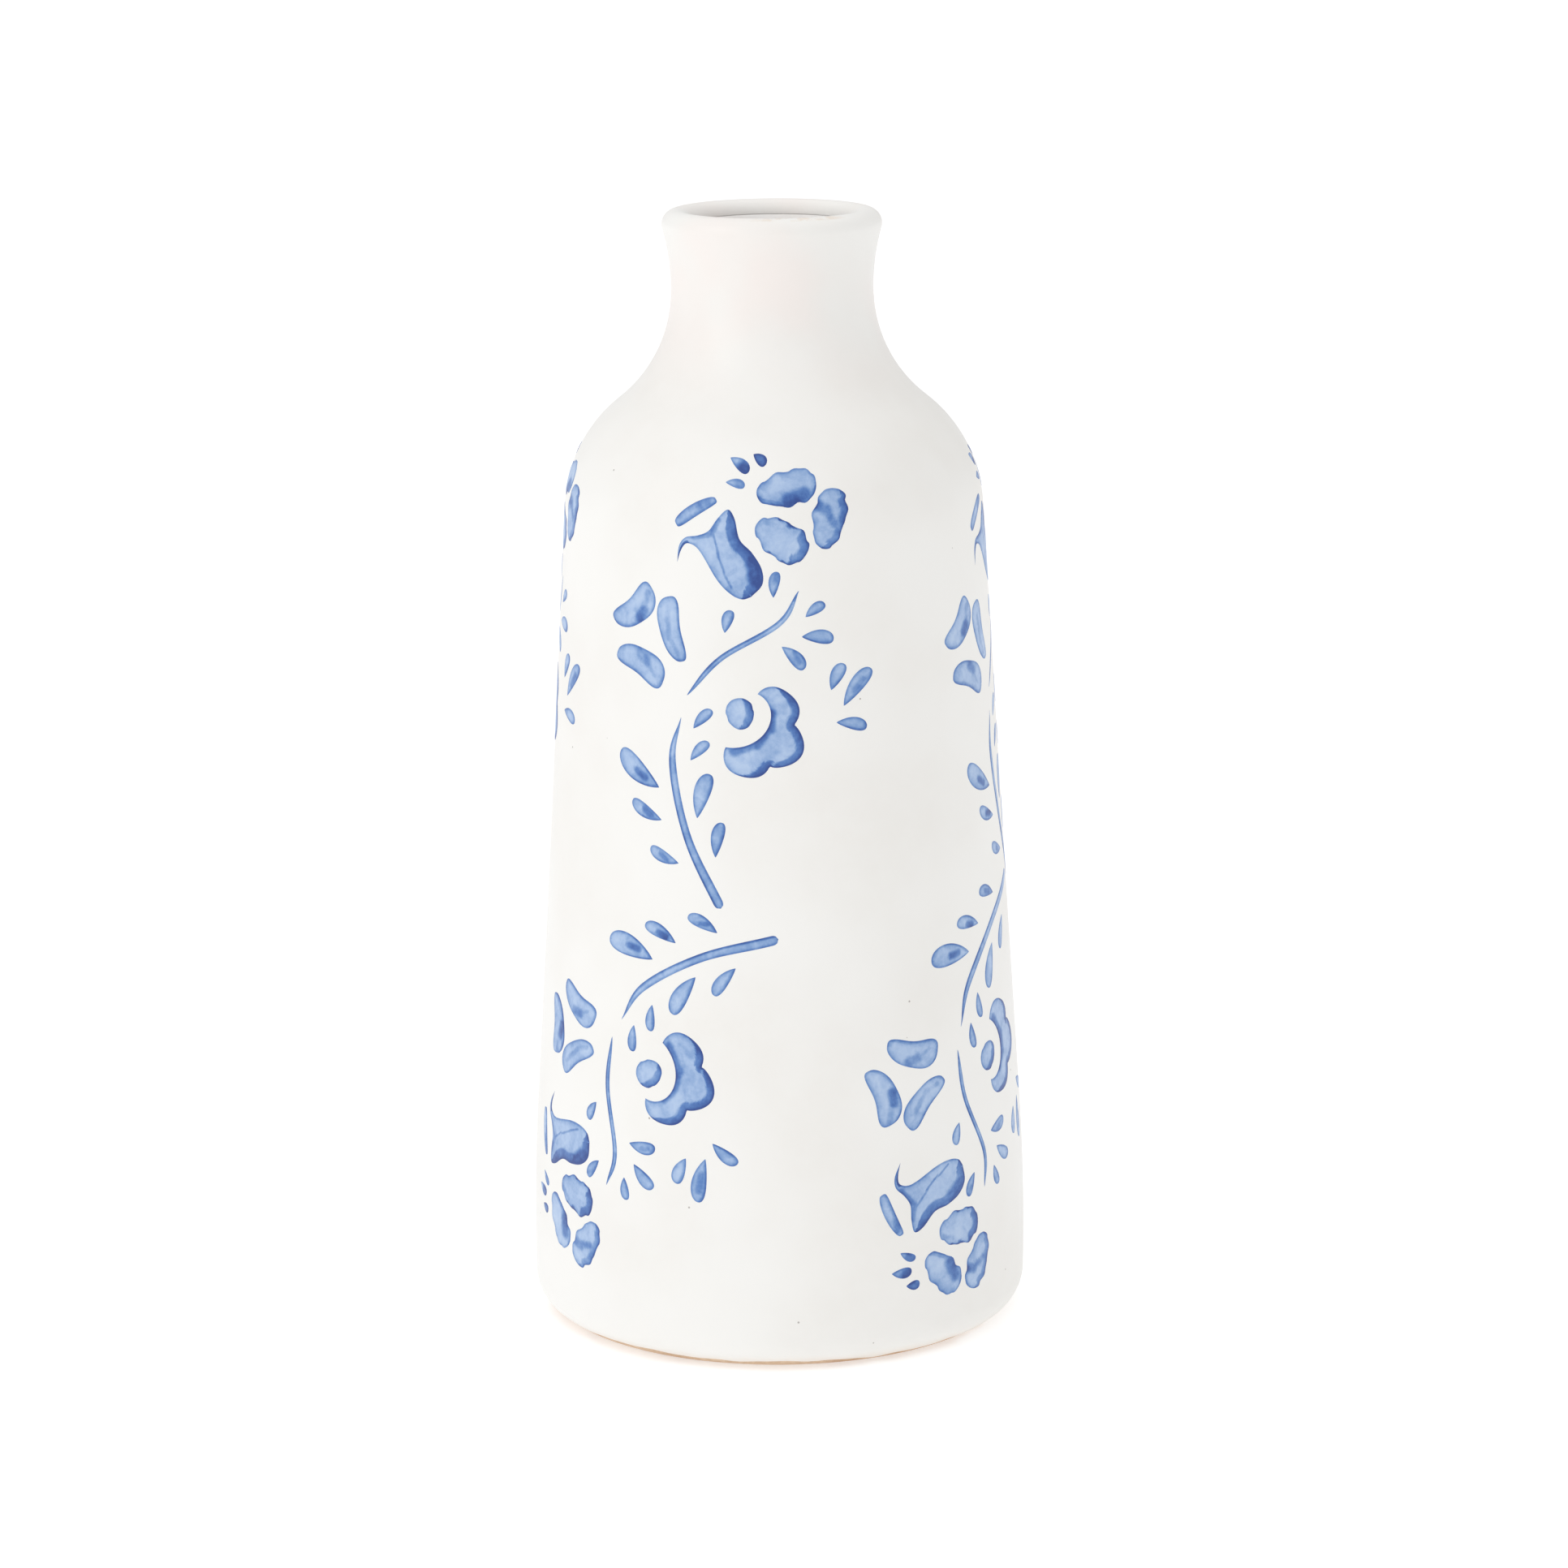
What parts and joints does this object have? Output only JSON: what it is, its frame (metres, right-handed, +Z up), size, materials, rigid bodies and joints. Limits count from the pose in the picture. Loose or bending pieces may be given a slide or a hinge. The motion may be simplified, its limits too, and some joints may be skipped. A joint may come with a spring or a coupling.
{
  "type": "porcelain vase",
  "caption": "Tall round shouldered porcelain vase with a short waisted neck, rolled lip, foot ring, white glaze and blue floral transfers; holds cut stems in water.",
  "frame": {"origin": "centre of the plane that the foot ring stands on, on the vase's axis", "axes": "+Z up the vase's axis towards the mouth; -Y faces the viewer, with the front spray of flowers; +X to the viewer's right"},
  "size_m": [0.08, 0.08, 0.179],
  "materials": {
    "clay": "bare fired clay, matt",
    "white_glaze": "satin warm-white glaze",
    "blue_transfer": "satin cobalt blue, fired into the glaze"
  },
  "bodies": {
    "root": {"clay_body": "clay", "outer_glaze": "white_glaze", "inner_glaze": "white_glaze", "upper_transfer_front": "blue_transfer", "upper_transfer_right": "blue_transfer", "upper_transfer_back": "blue_transfer", "upper_transfer_left": "blue_transfer", "lower_transfer_front": "blue_transfer", "lower_transfer_right": "blue_transfer", "lower_transfer_back": "blue_transfer", "lower_transfer_left": "blue_transfer"}
  },
  "joints": []
}
